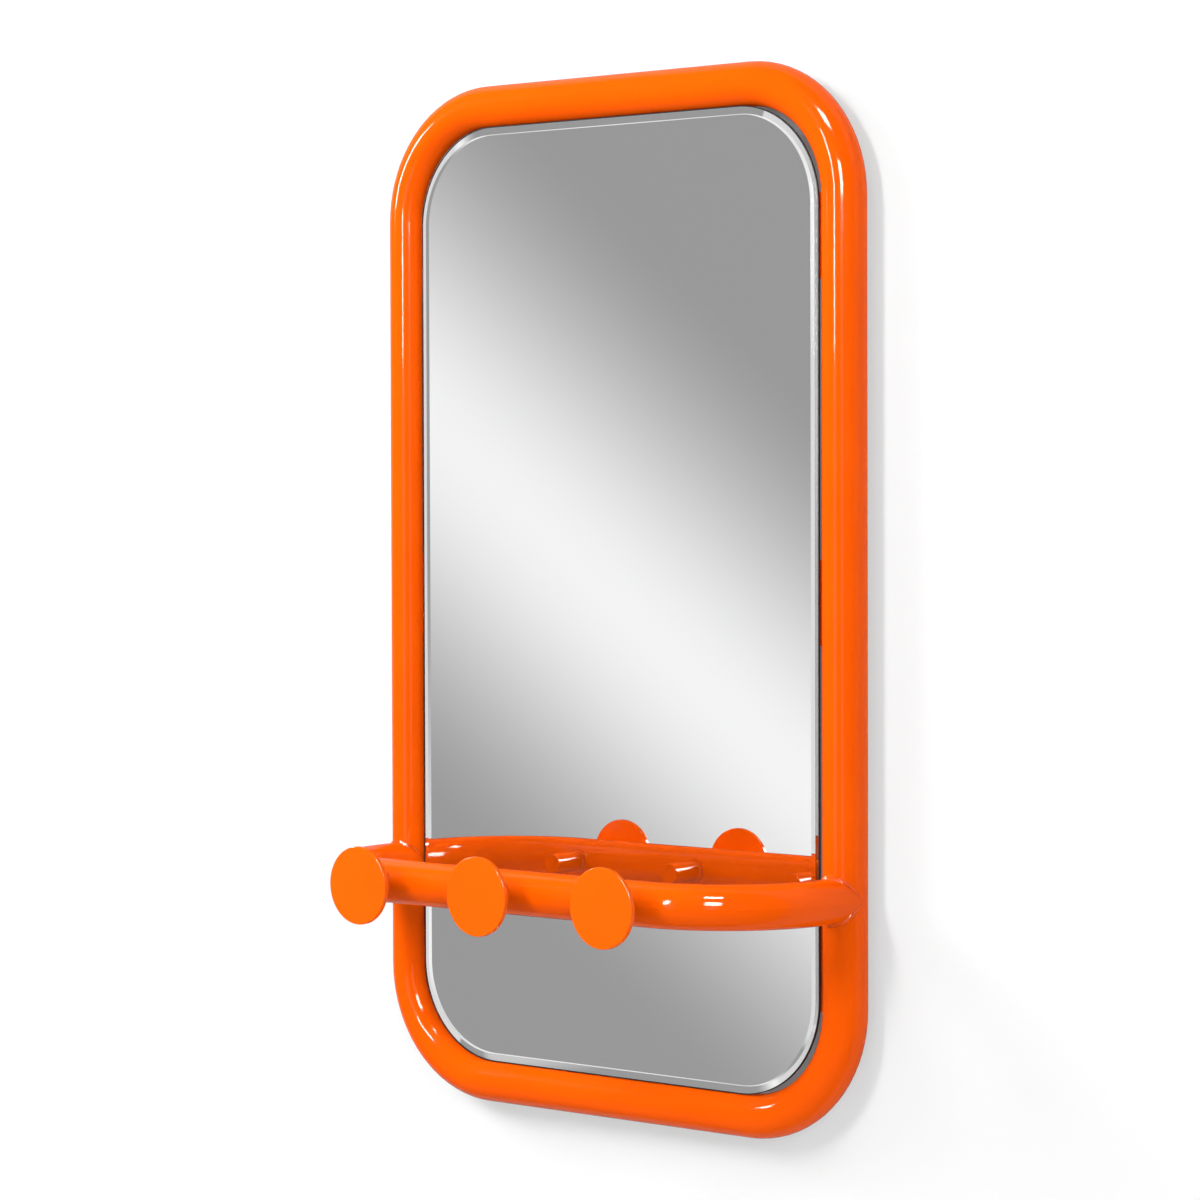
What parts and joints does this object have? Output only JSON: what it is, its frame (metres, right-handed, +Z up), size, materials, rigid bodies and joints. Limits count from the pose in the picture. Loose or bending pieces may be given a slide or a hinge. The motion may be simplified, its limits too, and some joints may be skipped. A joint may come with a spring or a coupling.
{
  "type": "mirror with hooks",
  "caption": "Tall wall mirror in a bent round-tube frame, with a bowed tube rail across the front carrying coat pegs with flat round heads.",
  "frame": {"origin": "midway between the two keyhole entries, on the wall-side face of the hanger plates", "axes": "+X to the right as the mirror is looked into, +Y into the wall, +Z up"},
  "size_m": [0.6008, 0.2264, 1.015],
  "materials": {
    "frame_paint": "gloss powder coat",
    "weld_paint": "gloss powder coat over a weld bead",
    "mirror_glass": "clear float glass with a polished bevel",
    "silvering": "silvered, painted grey on the back",
    "foam": "foam tape",
    "pad_rubber": "translucent soft pad"
  },
  "bodies": {
    "root": {"frame_tube": "frame_paint", "rail_tube": "frame_paint", "rail_weld_left": "weld_paint", "rail_weld_right": "weld_paint", "peg_rod_left": "frame_paint", "peg_rod_middle": "frame_paint", "peg_rod_right": "frame_paint", "peg_disc_left": "frame_paint", "peg_disc_middle": "frame_paint", "peg_disc_right": "frame_paint", "peg_weld_left": "weld_paint", "peg_weld_middle": "weld_paint", "peg_weld_right": "weld_paint", "mirror_glass": "mirror_glass", "mirror_silvering": "silvering", "adhesive_pads": "foam", "lug_upper_left": "frame_paint", "lug_upper_right": "frame_paint", "lug_middle_left": "frame_paint", "lug_middle_right": "frame_paint", "lug_lower_left": "frame_paint", "lug_lower_right": "frame_paint", "lug_welds": "weld_paint", "hanger_plate_left": "frame_paint", "hanger_plate_right": "frame_paint", "hanger_welds": "weld_paint", "wall_pads": "pad_rubber"}
  },
  "joints": []
}
